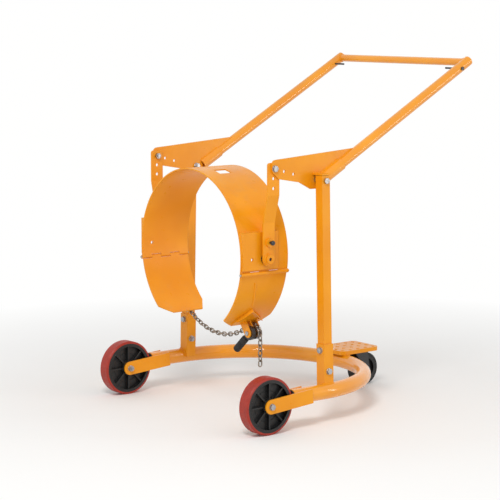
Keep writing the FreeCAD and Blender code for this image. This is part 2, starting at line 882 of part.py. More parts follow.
def corner_trim(x, run, rise, angle):
    # Wedge that takes a corner off a curved plate; run is along x, rise is back from the edge at the angle.
    reach = V(0, 0, saddle_radius - cut_over)
    over = math.copysign(cut_over, run)
    past = math.copysign(cut_over, rise)
    points = [V(x - over, -rise, drum_height), V(x - over, past, drum_height),
              V(x + run, past, drum_height), V(x + run, 0, drum_height), V(x, -rise, drum_height)]
    wedge = prism([p + reach for p in points], V(0, 0, saddle_thick + tightener_stand))
    return turned(wedge, angle)


def flap():
    front = saddle_front + flap_inset
    rear = saddle_rear - flap_inset
    body = shell(saddle_radius, saddle_outer, front, rear, flap_start, flap_end)
    body = body.cut(corner_trim(front, flap_front_trim, flap_front_trim_rise, flap_end))
    body = body.cut(corner_trim(rear, -flap_rear_trim, flap_rear_trim_rise, flap_end))
    body = body.fuse(knuckles(1, hinge_angle, flap_start)).removeSplitter()
    return body.cut(hinge_bore(hinge_rod + running_gap))


# Chain tightener, made at the crown and swung to its place

def tightener_cheek(x, thick, half, top, root):
    low = V(x, -half, drum_height + saddle_radius)
    body = block(low, V(x + thick, half, drum_height + top))
    body = body.fuse(rod(half, V(x, 0, drum_height + top), AXIS_X, thick))
    start = V(x - cut_over, 0, drum_height)
    return body.cut(rod(root, start, AXIS_X, thick + 2 * cut_over))


def peaked(height, top_angle):
    body = shell(saddle_outer + weld_gap, saddle_outer + height, doubler_front, doubler_rear, top_angle,
                 flap_end)
    body = body.cut(corner_trim(doubler_front, doubler_peak - doubler_front, -doubler_front_rise, top_angle))
    return body.cut(corner_trim(doubler_rear, doubler_peak - doubler_rear, -doubler_rear_rise, top_angle))


def doubler():
    # Peaked plate on the flap's outside that carries the tightener, with a lip along its peak and a rivet.
    hood = peaked(hood_stand, doubler_top_angle)
    hood = hood.cut(peaked(2 * hood_stand, doubler_top_angle + hood_thick_angle))
    root = V(rivet_place, 0, drum_height + saddle_outer + bracket_foot * HALF)
    rivet = rod(rivet_radius, root, AXIS_Z, bracket_foot * HALF + rivet_height)
    plate = peaked(bracket_foot, doubler_top_angle + hood_thick_angle * HALF)
    return plate, [hood, turned(rivet, rivet_angle)]


def tightener_bracket():
    places = (tightener_front, second_cheek, third_cheek)
    root = saddle_outer + bracket_foot * HALF
    cheeks = [tightener_cheek(x, cheek_plate, cheek_plate_half, tightener_radius, root) for x in places]
    bore = rod(shaft_radius + running_gap, V(tightener_front - cut_over, 0, drum_height + tightener_radius),
               AXIS_X, third_cheek + cheek_plate - tightener_front + 2 * cut_over)
    cheeks = [turned(cheek.cut(bore), tightener_angle) for cheek in cheeks]
    plate, extras = doubler()
    return mirrored(plate.fuse(cheeks + extras).removeSplitter())


shaft_middle = round_drum(tightener_radius, -tightener_angle, 0)


def on_shaft(x):
    return V(x, shaft_middle.y, shaft_middle.z)


def tightener_shaft():
    front = tightener_front - body_gap
    rear = third_cheek + cheek_plate + body_gap
    body = rod(shaft_radius, on_shaft(front), AXIS_X, rear - front)
    ends = [rod(shaft_head_radius, on_shaft(front), -AXIS_X, shaft_head),
            rod(shaft_head_radius, on_shaft(rear), AXIS_X, shaft_head)]
    return body.fuse(ends).removeSplitter()


lever_turn = FreeCAD.Rotation(AXIS_X, lever_direction)
lever_way = lever_turn.multVec(AXIS_Y)
lever_middle = on_shaft(lever_front + lever_hub * HALF)


def tightener_lever():
    hub = rod(lever_hub_radius, on_shaft(lever_front), AXIS_X, lever_hub)
    neck = rod(lever_neck, lever_middle, lever_way, lever_length - grip_round)
    body = hub.fuse(neck).removeSplitter()
    slot = rod(shaft_radius + weld_gap, on_shaft(lever_front - cut_over), AXIS_X, lever_hub + 2 * cut_over)
    return body.cut(slot)


def lever_grip():
    start = lever_middle + lever_way * grip_start
    length = lever_length - grip_start
    body = rod(grip_radius, start, lever_way, length)
    body = body.makeFillet(grip_round, [e for e in body.Edges if len(e.Vertexes) == 1])
    step = length / (grip_groove_count + 1)
    for k in range(grip_groove_count):
        place = start + lever_way * (step * (k + 1))
        body = body.cut(Part.makeTorus(grip_radius + grip_groove * HALF, grip_groove, place, lever_way))
    return body.cut(rod(lever_neck + weld_gap, lever_middle, lever_way, lever_length - grip_round))


def chain_spool():
    span = spool_groove + 2 * spool_flange
    front = spool_middle - span * HALF
    core = rod(spool_core, on_shaft(front), AXIS_X, span)
    flanges = [rod(spool_flange_radius, on_shaft(x), AXIS_X, spool_flange)
               for x in (front, front + spool_flange + spool_groove)]
    body = core.fuse(flanges).removeSplitter()
    return body.cut(rod(shaft_radius + weld_gap, on_shaft(front), AXIS_X, span))


# Chain and its anchor on the right flap

def chain_anchor():
    gap = chain_wire * HALF + anchor_side_gap
    places = (spool_middle - gap - anchor_plate, spool_middle + gap)
    root = saddle_outer + weld_gap
    cheeks = [tightener_cheek(x, anchor_plate, anchor_half, chain_radius, root) for x in places]
    foot = shell(root, root + slip_gap, places[0], places[1] + anchor_plate, -bracket_foot_angle,
                 bracket_foot_angle)
    body = foot.fuse(cheeks).removeSplitter()
    bore = rod(anchor_pin_radius + weld_gap, V(places[0] - cut_over, 0, drum_height + chain_radius), AXIS_X,
               2 * (gap + anchor_plate + cut_over))
    return turned(body.cut(bore), anchor_angle)


def anchor_pin():
    half = chain_wire * HALF + anchor_side_gap + anchor_plate + weld_gap
    start = round_drum(chain_radius, anchor_angle, spool_middle - half)
    body = rod(anchor_pin_radius, start, AXIS_X, 2 * half)
    ends = [rod(anchor_pin_head, start, -AXIS_X, anchor_pin_radius),
            rod(anchor_pin_head, start + AXIS_X * (2 * half), AXIS_X, anchor_pin_radius)]
    return body.fuse(ends).removeSplitter()


# Chain route in the plane of the spool: round the drum, straight to the spool, over it and down.
shaft_apart = V(0, shaft_middle.y, shaft_middle.z - drum_height).Length
route_begin = math.radians(anchor_angle)
route_leave = math.radians(360 - tightener_angle)
route_leave -= math.acos((chain_radius + chain_wrap_radius) / shaft_apart)
drum_run = chain_radius * (route_leave - route_begin)
line_run = math.sqrt(shaft_apart ** 2 - (chain_radius + chain_wrap_radius) ** 2)
wrap_run = chain_wrap_radius * (route_leave - math.pi * HALF)
wrap_start = drum_run + line_run


def chain_route(along):
    # The point at a distance along the chain from the anchor pin.
    if along <= drum_run:
        return round_drum(chain_radius, math.degrees(route_begin + along / chain_radius), 0)
    off = V(0, math.sin(route_leave), math.cos(route_leave))
    heading = V(0, math.cos(route_leave), -math.sin(route_leave))
    if along <= wrap_start:
        return drum_middle + off * chain_radius + heading * (along - drum_run)
    turn = min(along - wrap_start, wrap_run) / chain_wrap_radius
    spin = FreeCAD.Rotation(AXIS_X, math.degrees(turn))
    point = on_shaft(0) - spin.multVec(off) * chain_wrap_radius
    return point + spin.multVec(heading) * max(along - wrap_start - wrap_run, 0)


def next_joint(place):
    # Links sit a little closer where the chain bends over the spool.
    step = chain_pitch - chain_slack
    bends = place + step > wrap_start and place < wrap_start + wrap_run
    return place + (chain_pitch - chain_bend_slack if bends else step)


# Distances along the chain where link meets link: up to the link that leaves the spool, then the tail.
# The lead is the links that lie on the spool's outer side and the one below them.
chain_joints = [-anchor_pin_radius - slip_gap]
while chain_joints[-1] < wrap_start + wrap_run:
    chain_joints.append(next_joint(chain_joints[-1]))
lead_end = len(chain_joints)
lead_begin = lead_end - lead_links
for k in range(tail_links + 1):
    chain_joints.append(next_joint(chain_joints[-1]))


def chain_link():
    bend = (chain_outer - chain_wire) * HALF
    wire = chain_wire * HALF
    half = (chain_pitch + chain_wire) * HALF - bend
    pieces = [rod(wire, V(-half, side * bend, 0), AXIS_X, 2 * half) for side in (1, -1)]
    for side in (1, -1):
        end = Part.makeTorus(bend, wire, V(0, 0, 0), AXIS_Z, -180, 180, 180)
        end.rotate(V(0, 0, 0), AXIS_Z, -90 * side)
        end.translate(V(side * half, 0, 0))
        pieces.append(end)
    return pieces[0].fuse(pieces[1:]).removeSplitter()


def chain_run(first, count):
    link = chain_link()
    links = []
    for k in range(first, first + count):
        behind = chain_route(chain_joints[k])
        ahead = chain_route(chain_joints[k + 1])
        heading = (ahead - behind).normalize()
        sideways = AXIS_X if k % 2 else AXIS_X.cross(heading)
        turn = FreeCAD.Rotation(heading, sideways, heading.cross(sideways), "XYZ")
        place = (ahead + behind) * HALF + AXIS_X * spool_middle
        piece = link.copy()
        piece.Placement = FreeCAD.Placement(place, turn)
        links.append(piece)
    return Part.makeCompound(links)


# Pieces, by node

pieces = {
    "horseshoe_tube": horseshoe_tube(),
    "frame_bolts": Part.makeCompound([p for b in frame_bolts() for p in both(b)]),
    "frame_nuts": Part.makeCompound([p for n in frame_nuts() for p in both(n)]),
    "handle_spacers": Part.makeCompound(both(handle_spacer())),
    "step_plate": step_plate(),
    "caster_top_plate": caster_top_plate(),
    "caster_race": caster_race(),
    "caster_kingpin": caster_kingpin(),
    "caster_fork": caster_fork(),
    "caster_axle": caster_axle(),
    "caster_core": caster_core(),
    "caster_tyre": caster_tyre(),
    "axle_sleeves": Part.makeCompound(both(axle_sleeve())),
    "axle_bolts": Part.makeCompound(both(axle_bolt())),
    "axle_nuts": Part.makeCompound(both(axle_nut())),
    "handle_stops": Part.makeCompound(both(handle_stop())),
    "crossbar": crossbar(),
    "crossbar_pegs": Part.makeCompound(both(peg())),
    "hanger_bolts": Part.makeCompound(both(hanger_bolt())),
    "hanger_nuts": Part.makeCompound(both(hanger_nut())),
    "lock_bush": mirrored(lock_bush_piece()),
    "lock_pin": mirrored(lock_pin()),
    "saddle_band": saddle_band(),
    "trunnion_pins": Part.makeCompound(both(trunnion())),
    "trunnion_ends": Part.makeCompound(both(trunnion_end())),
    "hinge_rods": Part.makeCompound(both(hinge_rod_piece())),
    "tightener_bracket": tightener_bracket(),
    "tightener_shaft": tightener_shaft(),
    "tightener_lever": tightener_lever(),
    "lever_grip": lever_grip(),
    "chain_spool": chain_spool(),
    "chain_anchor": chain_anchor(),
    "anchor_pin": anchor_pin(),
    "cinch_chain": chain_run(0, lead_begin),
    "chain_lead": chain_run(lead_begin, lead_links),
    "chain_tail": chain_run(lead_end, tail_links),
}

sided = {
    "fork_cheeks": fork_cheeks,
    "post_sleeve": post_sleeve,
    "post": post,
    "handle_plate": handle_plate,
    "handle_socket": handle_socket,
    "side_tube": side_tube,
    "wheel_core": wheel_core,
    "wheel_tread": wheel_tread,
    "wheel_bearing": wheel_bearing,
    "hanger": hanger,
    "side_pad": side_pad,
    "flap": flap,
}
for name, make in sided.items():
    pieces["right_" + name] = make()
    pieces["left_" + name] = mirrored(pieces["right_" + name])

os.makedirs("parts", exist_ok=True)
for name, shape in pieces.items():
    shape.translate(V(-middle_x, 0, 0))
    shape.exportStep("parts/" + name + ".step")
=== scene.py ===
import json
import math

import bpy
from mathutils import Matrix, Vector

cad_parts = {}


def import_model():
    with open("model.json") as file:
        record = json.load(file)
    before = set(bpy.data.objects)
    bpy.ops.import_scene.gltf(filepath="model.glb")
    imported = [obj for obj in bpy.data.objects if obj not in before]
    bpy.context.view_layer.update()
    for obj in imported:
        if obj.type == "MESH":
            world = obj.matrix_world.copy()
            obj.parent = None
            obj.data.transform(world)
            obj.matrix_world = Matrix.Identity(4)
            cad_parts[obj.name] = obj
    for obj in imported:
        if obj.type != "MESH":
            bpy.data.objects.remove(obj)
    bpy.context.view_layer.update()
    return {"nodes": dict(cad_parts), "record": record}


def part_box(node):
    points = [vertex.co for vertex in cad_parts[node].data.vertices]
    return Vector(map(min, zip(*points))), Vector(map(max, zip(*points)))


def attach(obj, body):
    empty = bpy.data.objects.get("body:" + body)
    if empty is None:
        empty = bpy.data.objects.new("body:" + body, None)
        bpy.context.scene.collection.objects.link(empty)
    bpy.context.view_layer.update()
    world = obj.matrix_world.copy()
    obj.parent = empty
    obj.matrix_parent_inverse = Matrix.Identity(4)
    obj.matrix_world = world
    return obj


# Looks of the drum tipper: paint, plating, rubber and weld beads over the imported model, in metres.
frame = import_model()

# Camera
camera_place = Vector((-4.23355, -5.125, 1.449))
camera_yaw = math.radians(51.77)
camera_pitch = math.radians(7.70)
camera_lens = 130.4
camera_sensor = 36.0
camera_reach = 200.0

# Floor and light
floor_half = 40.0
floor_near = 0.9
floor_far = 2.4
world_light = 0.64
lamps = (
    dict(name="key", place=(-3.2, -2.6, 4.2), aim=(0.0, 0.0, 0.5), width=1.4, length=1.4, power=124.0,
         tint=(1.0, 0.98, 0.95)),
    dict(name="strip", place=(2.6, -3.0, 1.1), aim=(0.3, -0.3, 0.8), width=0.28, length=1.6, power=14.0,
         tint=(1.0, 0.9, 0.82)),
)

# Colours
background = (1.0, 1.0, 0.995, 1)
floor_pale = (0.955, 0.955, 0.95, 1)
floor_paler = (0.97, 0.97, 0.965, 1)
yellow = (0.88, 0.345, 0.006, 1)
yellow_deep = (0.82, 0.295, 0.004, 1)
# Lighter yellow mixed in along the corners: partly edge wear, partly a painted highlight on the corners.
yellow_worn_and_highlit_edge = (0.92, 0.43, 0.03, 1)
dust = (0.33, 0.27, 0.2, 1)
zinc_light = (0.5, 0.51, 0.53, 1)
zinc_dark = (0.3, 0.305, 0.32, 1)
chain_light = (0.42, 0.37, 0.31, 1)
chain_dark = (0.13, 0.105, 0.085, 1)
nylon = (0.006, 0.006, 0.0065, 1)
nylon_worn = (0.02, 0.02, 0.02, 1)
red = (0.37, 0.022, 0.008, 1)
red_dark = (0.25, 0.014, 0.006, 1)
rubber_black = (0.006, 0.006, 0.006, 1)
rubber_grey = (0.02, 0.02, 0.02, 1)
enamel = (0.014, 0.014, 0.016, 1)
enamel_worn = (0.05, 0.05, 0.05, 1)

# Levels shared by the materials
noise_low = 0.3
noise_high = 0.7
corner_samples = 6
corner_flat = 0.995
corner_full = 0.86
upward_from = 0.35

# Round tubes, which take a glossier coat than the plates
tubes = ("left_side_tube", "right_side_tube", "crossbar", "horseshoe_tube", "left_handle_socket",
         "right_handle_socket")

# Sizes of the part that the pieces made here follow, in millimetres
mm_per_metre = 1000
middle_x = 459.546
wheel_radius = 100.0
wheel_half = 23.0
hub_half = 24.0
web_half = 7.0
track_half = 422.0
base_radius = 27.0
base_height = 114.0
leg_front = 110.0
cheek_end = 182.0
post_reach = 279.0
post_base_offset = 406.0
post_top_offset = 386.0
sleeve_half = 20.7
sleeve_low_bolt = 183.0
sleeve_high_bolt = 257.0
step_half_width = 76.0
handle_bolt_height = 849.0
handle_foot_height = 835.7
handle_slope = math.radians(29.36)
plate_inner = 346.0
plate_thick = 6.0
tube_offset = 354.0
socket_radius = 21.8
socket_end = 126.0
side_tube_radius = 18.2
bar_reach = 826.0
bar_radius = 14.0
stop_top = 873.5
hanger_reach = 94.0
hanger_bolt_height = 897.0
drum_height = 583.0
saddle_outer = 297.5
pad_front = -6.0
pad_rear = 150.0
pad_low = 37.0
pad_high = 94.0
post_lean = (post_base_offset - post_top_offset) / (handle_bolt_height - base_height)
post_tilt = math.atan(post_lean)

# Form of a weld bead, and the radius of each, in metres
bead_step = 0.0013
bead_pitch = 0.0042
bead_ripple = 0.1
bead_sides = 8
bead_tip = 0.35
bead_up = Vector((0.31, 0.43, 0.85))
bead_fewest = 3
shortest_run = 1e-9
wander_rate = 0.83
wander_start = 1.7
sleeve_bead = 0.0032
socket_bead = 0.0026
bar_bead = 0.0026
plate_bead = 0.0024
collar_bead = 0.0022
leg_bead = 0.0014
cheek_bead = 0.003
foot_bead = 0.0028
pad_bead = 0.0028
rib_bead = 0.0034

# Where the beads and the rib run, in millimetres, and how many points they take
bead_out = 1.0
bead_lift = 1.2
bead_sink = 0.6
socket_weld_ends = (35.0, 124.0)
tube_weld_ends = (129.0, 188.0)
collar_share = 1.08
collar_radius = side_tube_radius * collar_share
stop_weld_half = 16.0
cheek_weld_low = 15.0
cheek_weld_high = 13.0
foot_weld_inset = 2.5
foot_weld_ends = (655.0, 686.0)
sleeve_weld_gaps = 12
pad_weld_gaps = 14
pad_weld_skip = 6
rim_half = 12
rim_turns = [k * math.pi / rim_half for k in range(2 * rim_half)]
rib_top = 106.0
rib_foot = 126.0
rib_front = 61.0
rib_rear = 84.0
rib_lift = 0.4
rib_gaps = 12

# Turned pieces: radius and distance along the axis, in millimetres
washer_profile = [(6.6, 0), (11.5, 0), (11.5, 1.1), (11.1, 1.5), (6.6, 1.5)]
lip_profile = [(80.5, 0), (83.2, 0), (83.2, 0.9), (82.6, 1.3), (81.1, 1.3), (80.5, 0.9)]
web_profile = [(52, 0), (55, 0), (55, 1.2), (54, 1.9), (53, 1.9), (52, 1.2)]
seal_profile = [(10.6, 0), (16.8, 0), (16.8, 0.5), (15.8, 1.1), (11.6, 1.1), (10.6, 0.5)]
plug_profile = [(0.1, 0), (base_radius - 1.5, 0), (base_radius - 1.0, 1.2), (base_radius - 2.5, 3.6),
                (base_radius - 7, 4.6), (0.1, 5.0)]
ring_sink = 0.4
ring_sides = 40
plug_sides = 48
wheel_ring_sides = 72


# Material tools

class Nodes:
    # A material's node tree with a Principled shader and short ways to add to it.
    def __init__(self, name):
        self.material = bpy.data.materials.new(name)
        self.material.use_nodes = True
        self.tree = self.material.node_tree
        self.shader = self.tree.nodes["Principled BSDF"]
        self.place = self.add("ShaderNodeTexCoord").outputs["Object"]

    def add(self, kind, **values):
        node = self.tree.nodes.new(kind)
        for key, value in values.items():
            setattr(node, key, value)
        return node

    def link(self, source, target):
        self.tree.links.new(source, target)

    def noise(self, scale, detail, rough=0.5):
        node = self.add("ShaderNodeTexNoise")
        node.inputs["Scale"].default_value = scale
        node.inputs["Detail"].default_value = detail
        node.inputs["Roughness"].default_value = rough
        self.link(self.place, node.inputs["Vector"])
        return node.outputs["Fac"]

    def span(self, value, low, high, to_low=0.0, to_high=1.0):
        node = self.add("ShaderNodeMapRange")
        node.inputs["From Min"].default_value = low
        node.inputs["From Max"].default_value = high
        node.inputs["To Min"].default_value = to_low
        node.inputs["To Max"].default_value = to_high
        self.link(value, node.inputs["Value"])
        return node.outputs["Result"]

    def patches(self, low, high, **noise):
        # Soft patches from 0 to 1: noise stretched between two of its levels.
        return self.span(self.noise(**noise), low, high)

    def times(self, first, second):
        node = self.add("ShaderNodeMath", operation="MULTIPLY")
        self.link(first, node.inputs[0])
        self.link(second, node.inputs[1])
        return node.outputs["Value"]

    def mix(self, share, first, second):
        node = self.add("ShaderNodeMix", data_type="RGBA")
        self.link(share, node.inputs["Factor"])
        for key, value in (("A", first), ("B", second)):
            socket = [s for s in node.inputs if s.name == key and s.type == "RGBA"][0]
            if isinstance(value, tuple):
                socket.default_value = value
            else:
                self.link(value, socket)
        return [s for s in node.outputs if s.type == "RGBA"][0]

    def rounded(self, radius):
        # The normal of the surface with its corners rounded.
        node = self.add("ShaderNodeBevel", samples=corner_samples)
        node.inputs["Radius"].default_value = radius
        return node.outputs["Normal"]

    def edges(self, radius):
        # Near 1 along outer and inner corners, 0 on the flats.
        plain = self.add("ShaderNodeNewGeometry")
        dot = self.add("ShaderNodeVectorMath", operation="DOT_PRODUCT")
        self.link(self.rounded(radius), dot.inputs[0])
        self.link(plain.outputs["Normal"], dot.inputs[1])
        return self.span(dot.outputs["Value"], corner_flat, corner_full)

    def worn_and_highlit_edges(self, radius, low, high, **noise):
        # Corners in noise patches: edge wear, and on the yellow paint partly a painted highlight.
        return self.times(self.edges(radius), self.patches(low, high, **noise))

    def upward(self):
        # 1 on faces that look up, 0 on upright ones and those that look down.
        plain = self.add("ShaderNodeNewGeometry")
        split = self.add("ShaderNodeSeparateXYZ")
        self.link(plain.outputs["Normal"], split.inputs["Vector"])
        return self.span(split.outputs["Z"], upward_from, 1.0)

    def color(self, source):
        self.link(source, self.shader.inputs["Base Color"])

    def rough_between(self, low, high, **noise):
        wander = self.span(self.noise(**noise), noise_low, noise_high, low, high)
        self.link(wander, self.shader.inputs["Roughness"])

    def bump(self, strength, depth, round_edges=0.0, **noise):
        # Fine unevenness, with the corners shaded as rounded.
        node = self.add("ShaderNodeBump")
        node.inputs["Strength"].default_value = strength
        node.inputs["Distance"].default_value = depth
        self.link(self.noise(**noise), node.inputs["Height"])
        if round_edges:
            self.link(self.rounded(round_edges), node.inputs["Normal"])
        self.link(node.outputs["Normal"], self.shader.inputs["Normal"])

    def set(self, **values):
        for key, value in values.items():
            self.shader.inputs[key.replace("_", " ")].default_value = value


def yellow_paint(name="yellow_paint", round_edges=0.0016, coat=0.15, gloss=0.2):
    n = Nodes(name)
    drift = n.patches(low=0.35, high=0.65, scale=6.0, detail=2.0)
    # Lighter yellow along the corners in patches: partly edge wear, partly a painted highlight on the
    # corners.
    edge_wear_and_painted_highlight = n.worn_and_highlit_edges(radius=0.0022, low=0.42, high=0.62, scale=60.0, detail=4.0)
    film = n.span(n.noise(scale=22.0, detail=6.0, rough=0.65), low=0.5, high=0.85, to_high=0.3)
    base = n.mix(edge_wear_and_painted_highlight, n.mix(drift, yellow, yellow_deep), yellow_worn_and_highlit_edge)
    n.color(n.mix(n.times(n.upward(), film), base, dust))
    n.rough_between(low=0.26, high=0.42, scale=38.0, detail=5.0, rough=0.6)
    n.bump(strength=0.03, depth=0.0004, round_edges=round_edges, scale=150.0, detail=2.0)
    n.set(Coat_Weight=coat, Coat_Roughness=gloss, Specular_IOR_Level=0.25)
    return n.material


def zinc_plate():
    n = Nodes("zinc_plate")
    clouds = n.patches(low=0.35, high=0.65, scale=70.0, detail=3.0)
    n.color(n.mix(clouds, zinc_light, zinc_dark))
    n.rough_between(low=0.22, high=0.42, scale=220.0, detail=4.0, rough=0.6)
    n.bump(strength=0.12, depth=0.0003, round_edges=0.0005, scale=900.0, detail=2.0)
    n.set(Metallic=1.0)
    return n.material


def chain_steel():
    n = Nodes("chain_steel")
    tarnish = n.patches(low=0.35, high=0.68, scale=160.0, detail=4.0, rough=0.6)
    n.color(n.mix(tarnish, chain_light, chain_dark))
    n.rough_between(low=0.3, high=0.55, scale=300.0, detail=4.0, rough=0.6)
    n.bump(strength=0.25, depth=0.0003, scale=700.0, detail=3.0)
    n.set(Metallic=1.0)
    return n.material


def black_plastic():
    n = Nodes("black_plastic")
    worn = n.worn_and_highlit_edges(radius=0.003, low=0.4, high=0.65, scale=80.0, detail=4.0)
    n.color(n.mix(worn, nylon, nylon_worn))
    n.rough_between(low=0.36, high=0.55, scale=120.0, detail=4.0)
    n.bump(strength=0.3, depth=0.0002, round_edges=0.0012, scale=1400.0, detail=2.0)
    return n.material


def red_tread():
    n = Nodes("red_tread")
    marks = n.patches(low=0.45, high=0.75, scale=45.0, detail=6.0, rough=0.7)
    n.color(n.mix(marks, red, red_dark))
    n.rough_between(low=0.4, high=0.62, scale=150.0, detail=5.0, rough=0.6)
    n.bump(strength=0.3, depth=0.0004, round_edges=0.001, scale=600.0, detail=4.0, rough=0.6)
    n.set(Subsurface_Weight=0.05, Subsurface_Scale=0.004)
    return n.material


def black_rubber():
    n = Nodes("black_rubber")
    bloom = n.patches(low=0.4, high=0.7, scale=60.0, detail=5.0)
    n.color(n.mix(bloom, rubber_black, rubber_grey))
    n.rough_between(low=0.55, high=0.78, scale=300.0, detail=4.0)
    n.bump(strength=0.35, depth=0.0004, round_edges=0.001, scale=900.0, detail=3.0)
    return n.material


def black_paint():
    n = Nodes("black_paint")
    worn = n.worn_and_highlit_edges(radius=0.002, low=0.42, high=0.62, scale=90.0, detail=4.0)
    n.color(n.mix(worn, enamel, enamel_worn))
    n.rough_between(low=0.25, high=0.42, scale=60.0, detail=4.0)
    n.bump(strength=0.2, depth=0.0004, round_edges=0.001, scale=500.0, detail=2.0)
    n.set(Coat_Weight=0.25, Coat_Roughness=0.15)
    return n.material


makers = (yellow_paint, zinc_plate, chain_steel, black_plastic, red_tread, black_rubber, black_paint)
materials = {make.__name__: make() for make in makers}


def dress_nodes():
    slots = {part["node"]: part["material_slot"] for part in frame["record"]["subparts"]}
    tubing = yellow_paint("yellow_paint_on_tube", round_edges=0.0, coat=0.8, gloss=0.07)
    for name, node in frame["nodes"].items():
        node.data.materials.clear()
        node.data.materials.append(tubing if name in tubes else materials[slots[name]])


dress_nodes()


# Pieces made here, in the millimetres of the part's source, x from the front axle

def at(x, y, z):
    return Vector((x - middle_x, y, z)) / mm_per_metre


def add_piece(name, verts, faces, body, slot):
    mesh = bpy.data.meshes.new(name)
    mesh.from_pydata(verts, [], faces)
    mesh.polygons.foreach_set("use_smooth", [True] * len(faces))
    mesh.materials.append(materials[slot])
    piece = bpy.data.objects.new(name, mesh)
    bpy.context.scene.collection.objects.link(piece)
    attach(piece, body)


def joined(parts):
    verts, faces = [], []
    for more, loops in parts:
        faces += [tuple(i + len(verts) for i in loop) for loop in loops]
        verts += more
    return verts, faces


def spread(low, high, gaps):
    # Evenly spaced values from low to high.
    return [low + (high - low) * k / gaps for k in range(gaps + 1)]


def stepped(points, step, closed):
    # The same line with points an even step apart.
    line = points + points[:1] if closed else points
    runs = [(b - a).length for a, b in zip(line, line[1:])]
    count = max(bead_fewest, round(sum(runs) / step))
    places = [sum(runs) * k / count for k in range(count if closed else count + 1)]
    out = []
    index, gone = 0, 0.0
    for place in places:
        while index < len(runs) - 1 and gone + runs[index] < place:
            gone += runs[index]
            index += 1
        share = min(1.0, (place - gone) / max(runs[index], shortest_run))
        out.append(line[index].lerp(line[index + 1], share))
    return out


def bead(line, radius, closed=False):
    # A weld bead: a rippled round run, thinner at its open ends.
    points = stepped(line, bead_step, closed)
    count = len(points)
    verts, faces = [], []
    for k, point in enumerate(points):
        ahead = points[(k + 1) % count] if closed or k < count - 1 else point
        behind = points[k - 1] if closed or k else point
        way = (ahead - behind).normalized()
        side = way.cross(bead_up).normalized()
        rise = side.cross(way)
        ripple = 1 + bead_ripple * math.sin(2 * math.pi * k * bead_step / bead_pitch)
        wander = 1 + bead_ripple * math.sin(k * bead_step / bead_pitch * wander_rate + wander_start)
        ends = 1.0 if closed else min(1.0, bead_tip + min(k, count - 1 - k) * bead_step / bead_pitch)
        size = radius * ripple * wander * ends
        for corner in range(bead_sides):
            turn = 2 * math.pi * corner / bead_sides
            verts.append(point + (side * math.cos(turn) + rise * math.sin(turn)) * size)
    for k in range(count if closed else count - 1):
        for corner in range(bead_sides):
            a, b = k * bead_sides, (k + 1) % count * bead_sides
            over = (corner + 1) % bead_sides
            faces.append((a + corner, a + over, b + over, b + corner))
    if not closed:
        faces.append(tuple(range(bead_sides))[::-1])
        faces.append(tuple(range((count - 1) * bead_sides, count * bead_sides)))
    return verts, faces


def turned(profile, start, axis, count=ring_sides):
    # A round body: (radius, along) points in millimetres turned about an axis.
    side = axis.orthogonal().normalized()
    rise = axis.cross(side)
    verts, faces = [], []
    for k in range(count):
        turn = 2 * math.pi * k / count
        way = side * math.cos(turn) + rise * math.sin(turn)
        verts += [start + (way * r + axis * s) / mm_per_metre for r, s in profile]
    size = len(profile)
    for k in range(count):
        a, b = k * size, (k + 1) % count * size
        for j in range(size):
            over = (j + 1) % size
            faces.append((a + j, b + j, b + over, a + over))
    return verts, faces


def leg_plugs():
    ahead = Vector((-1, 0, 0))
    ends = [at(leg_front, side * track_half, base_height) for side in (1, -1)]
    caps = [turned(plug_profile, end, ahead, plug_sides) for end in ends]
    add_piece("leg_end_plugs", *joined(caps), "frame", "black_plastic")


def round_drum(angle, x, radius):
    turn = math.radians(angle)
    return at(x, -radius * math.sin(turn), drum_height + radius * math.cos(turn))


def flap_rib():
    # Pressed rib on the left jaw, from below the hinge to the tightener's peaked plate.
    angles = spread(rib_top, rib_foot, rib_gaps)
    places = spread(rib_front, rib_rear, rib_gaps)
    line = [round_drum(angle, x, saddle_outer + rib_lift) for angle, x in zip(angles, places)]
    add_piece("left_jaw_rib", *bead(line, rib_bead), "left_jaw", "yellow_paint")


def sleeve_welds():
    beads = []
    for side in (1, -1):
        middle = post_base_offset - post_lean * base_radius
        inner, outer = track_half - base_radius + bead_out, middle + sleeve_half
        across = spread(inner, outer, sleeve_weld_gaps)
        rise = [base_height + math.sqrt(base_radius ** 2 - (y - track_half) ** 2) for y in across]
        front = [at(post_reach - sleeve_half, side * y, z) for y, z in zip(across, rise)]
        rear = [at(post_reach + sleeve_half, side * y, z) for y, z in zip(across, rise)]
        beads.append(bead(front + rear[::-1], sleeve_bead))
    add_piece("sleeve_weld_beads", *joined(beads), "frame", "yellow_paint")


def handle_point(along, rise, y):
    x = post_reach + along * math.cos(handle_slope) - rise * math.sin(handle_slope)
    z = handle_foot_height + along * math.sin(handle_slope) + rise * math.cos(handle_slope)
    return at(x, y, z)


def handle_welds():
    beads = []
    for side in (1, -1):
        for face in (plate_inner, plate_inner + plate_thick):
            away = tube_offset - face
            on_socket = math.sqrt(socket_radius ** 2 - away ** 2)
            on_tube = math.sqrt(side_tube_radius ** 2 - away ** 2)
            run = [handle_point(along, on_socket, side * face) for along in socket_weld_ends]
            beads.append(bead(run, socket_bead))
            run = [handle_point(along, on_tube, side * face) for along in tube_weld_ends]
            beads.append(bead(run, plate_bead))
        collar = [handle_point(socket_end, collar_radius * math.sin(t),
                               side * (tube_offset + collar_radius * math.cos(t))) for t in rim_turns]
        beads.append(bead(collar, collar_bead, True))
        bar_end = []
        for t in rim_turns:
            rise = bar_radius * math.sin(t)
            y = tube_offset - math.sqrt(side_tube_radius ** 2 - rise ** 2)
            bar_end.append(handle_point(bar_reach + bar_radius * math.cos(t), rise, side * y))
        beads.append(bead(bar_end, bar_bead, True))
        y = side * (plate_inner + plate_thick + bead_out)
        stop = [at(post_reach + x, y, stop_top) for x in (-stop_weld_half, stop_weld_half)]
        beads.append(bead(stop, plate_bead))
    add_piece("handle_weld_beads", *joined(beads), "frame", "yellow_paint")


